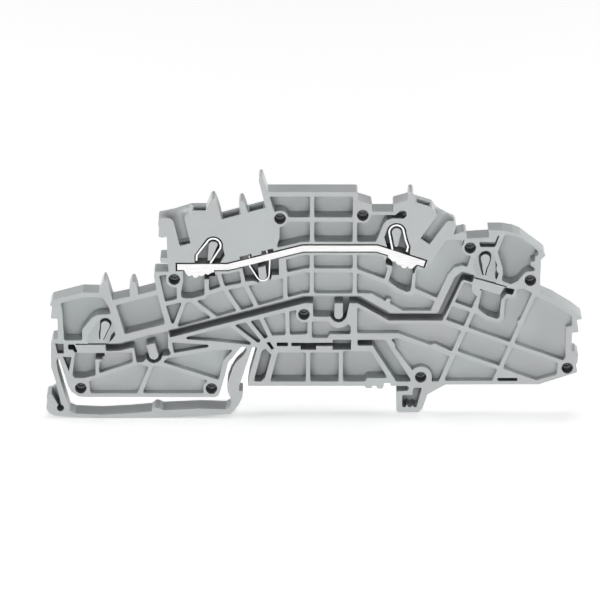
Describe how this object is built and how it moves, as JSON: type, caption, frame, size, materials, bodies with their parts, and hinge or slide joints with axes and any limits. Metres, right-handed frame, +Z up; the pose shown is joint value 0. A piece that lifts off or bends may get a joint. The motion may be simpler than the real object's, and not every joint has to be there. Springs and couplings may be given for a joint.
{
  "type": "double level terminal block",
  "caption": "Slim moulded terminal block for a 35 mm rail, open on one face, with ribbed pockets, a bent current bar, spring clamps and two stepped rows of wire entries.",
  "frame": {"origin": "middle of the rail's top plane, halfway through the block", "axes": "+X along the conductors towards the raised clamp deck, +Y along the rail from the open face to the closed back, +Z up from the rail"},
  "size_m": [0.1104, 0.0066, 0.0524],
  "materials": {
    "housing_plastic": "light grey moulded polyamide, satin",
    "tinned_metal": "bright matt tin",
    "spring_steel": "bright rolled strip"
  },
  "bodies": {
    "root": {"housing": "housing_plastic", "current_bar": "tinned_metal", "clamp_spring_left": "spring_steel", "clamp_spring_right": "spring_steel", "jumper_spring": "spring_steel"}
  },
  "joints": []
}
